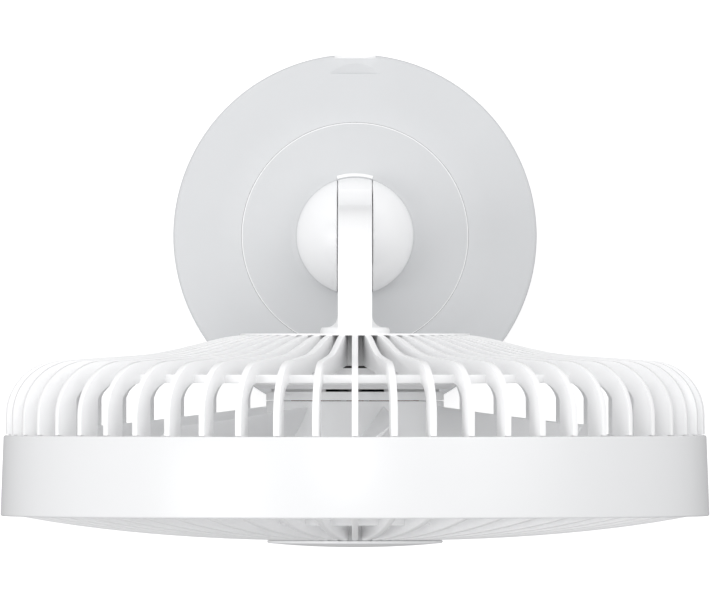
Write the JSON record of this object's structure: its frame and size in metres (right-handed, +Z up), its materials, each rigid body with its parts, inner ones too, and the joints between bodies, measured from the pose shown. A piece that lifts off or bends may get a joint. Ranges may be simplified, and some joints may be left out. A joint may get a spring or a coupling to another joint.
{
  "type": "desk fan",
  "caption": "Desk fan with a deep ribbed head on a narrow neck that tilts in a slotted dome on a round, weighted, oscillating base.",
  "frame": {"origin": "centre of the round base, level with the underside of the feet", "axes": "+Z up along the swing axis, -Y the way the fan blows, +X to the right seen from behind"},
  "size_m": [0.33, 0.2308, 0.367],
  "materials": {
    "white_shell": "satin white moulded ABS",
    "white_grille": "satin white moulded ABS, ribbed",
    "white_impeller": "white moulded AS resin",
    "grey_housing": "light grey moulded plastic",
    "ballast_steel": "black painted steel",
    "foot_rubber": "matte black rubber",
    "zinc_screw": "zinc plated steel",
    "acetal": "natural acetal",
    "motor_can": "drawn steel",
    "board_green": "green circuit board",
    "switch_black": "black switch body",
    "spine_alloy": "die-cast alloy",
    "stator_iron": "stacked laminations",
    "copper_wire": "enamelled copper wire",
    "magnet_black": "sintered ferrite"
  },
  "bodies": {
    "base": {"base_plate": "ballast_steel", "base_cover": "white_shell", "counterweight": "ballast_steel", "rubber_feet": "foot_rubber", "base_screws": "zinc_screw", "bearing_ring": "acetal", "swing_motor": "motor_can", "swing_motor_screws": "zinc_screw", "control_board": "board_green", "key_switches": "switch_black", "board_screws": "zinc_screw", "dc_inlet": "white_shell", "dc_pin": "motor_can"},
    "swing_drive": {"drive_pinion": "acetal", "pinion_shaft": "motor_can"},
    "turntable": {"turntable_cover": "white_shell", "turntable_frame": "grey_housing", "turntable_screws": "zinc_screw", "ring_gear": "acetal", "retaining_ring": "zinc_screw", "tilt_axle": "zinc_screw", "tilt_nut": "zinc_screw", "spring_washer": "zinc_screw", "friction_washers": "acetal"},
    "head": {"neck_shell": "white_shell", "neck_cover": "white_shell", "neck_spine": "spine_alloy", "neck_screws": "zinc_screw", "rear_grille": "white_grille", "head_screws": "zinc_screw", "outer_band": "white_shell", "front_grille": "white_grille", "front_cap": "white_shell", "motor_housing": "grey_housing", "motor_screws": "zinc_screw", "damper_ring": "foot_rubber", "motor_cover": "white_impeller", "motor_cover_screws": "zinc_screw", "motor_board": "board_green", "stator_core": "stator_iron", "stator_windings": "copper_wire", "rear_bearing": "motor_can", "front_bearing": "motor_can"},
    "rotor": {"impeller": "white_impeller", "impeller_nut": "white_impeller", "rotor_bell": "motor_can", "magnet_ring": "magnet_black", "motor_shaft": "motor_can", "shaft_clip": "zinc_screw"},
    "power_button": {"power_button": "white_shell"},
    "speed_button": {"speed_button": "white_shell"},
    "swing_button": {"swing_button": "white_shell"},
    "timer_button": {"timer_button": "white_shell"}
  },
  "joints": [
    {"name": "swing", "type": "hinge", "parent": "base", "child": "turntable", "pos_m": [0, 0, 0.02], "axis": [0, 0, 1], "range_deg": [-45, 45]},
    {"name": "tilt", "type": "hinge", "parent": "turntable", "child": "head", "pos_m": [0, 0, 0.034], "axis": [-1, 0, 0], "range_deg": [-10, 35]},
    {"name": "impeller_spin", "type": "hinge", "parent": "head", "child": "rotor", "pos_m": [0, -0.0458, 0.202], "axis": [0, -1, 0], "continuous": true},
    {"name": "drive_spin", "type": "hinge", "parent": "base", "child": "swing_drive", "pos_m": [0.05375, 0, 0.015], "axis": [0, 0, 1], "range_deg": [-280, 280]},
    {"name": "power_press", "type": "slide", "parent": "base", "child": "power_button", "axis": [0.0992, 0.1827, -0.9781], "range_m": [0, 0.0008], "stiffness_N_per_m": 800, "springref_m": -0.0006},
    {"name": "speed_press", "type": "slide", "parent": "base", "child": "speed_button", "axis": [0.0343, 0.2051, -0.9781], "range_m": [0, 0.0008], "stiffness_N_per_m": 800, "springref_m": -0.0006},
    {"name": "swing_press", "type": "slide", "parent": "base", "child": "swing_button", "axis": [-0.0343, 0.2051, -0.9781], "range_m": [0, 0.0008], "stiffness_N_per_m": 800, "springref_m": -0.0006},
    {"name": "timer_press", "type": "slide", "parent": "base", "child": "timer_button", "axis": [-0.0992, 0.1827, -0.9781], "range_m": [0, 0.0008], "stiffness_N_per_m": 800, "springref_m": -0.0006}
  ],
  "couplings": [
    {"joint": "drive_spin", "follows": "swing", "ratio": -6.1667}
  ]
}
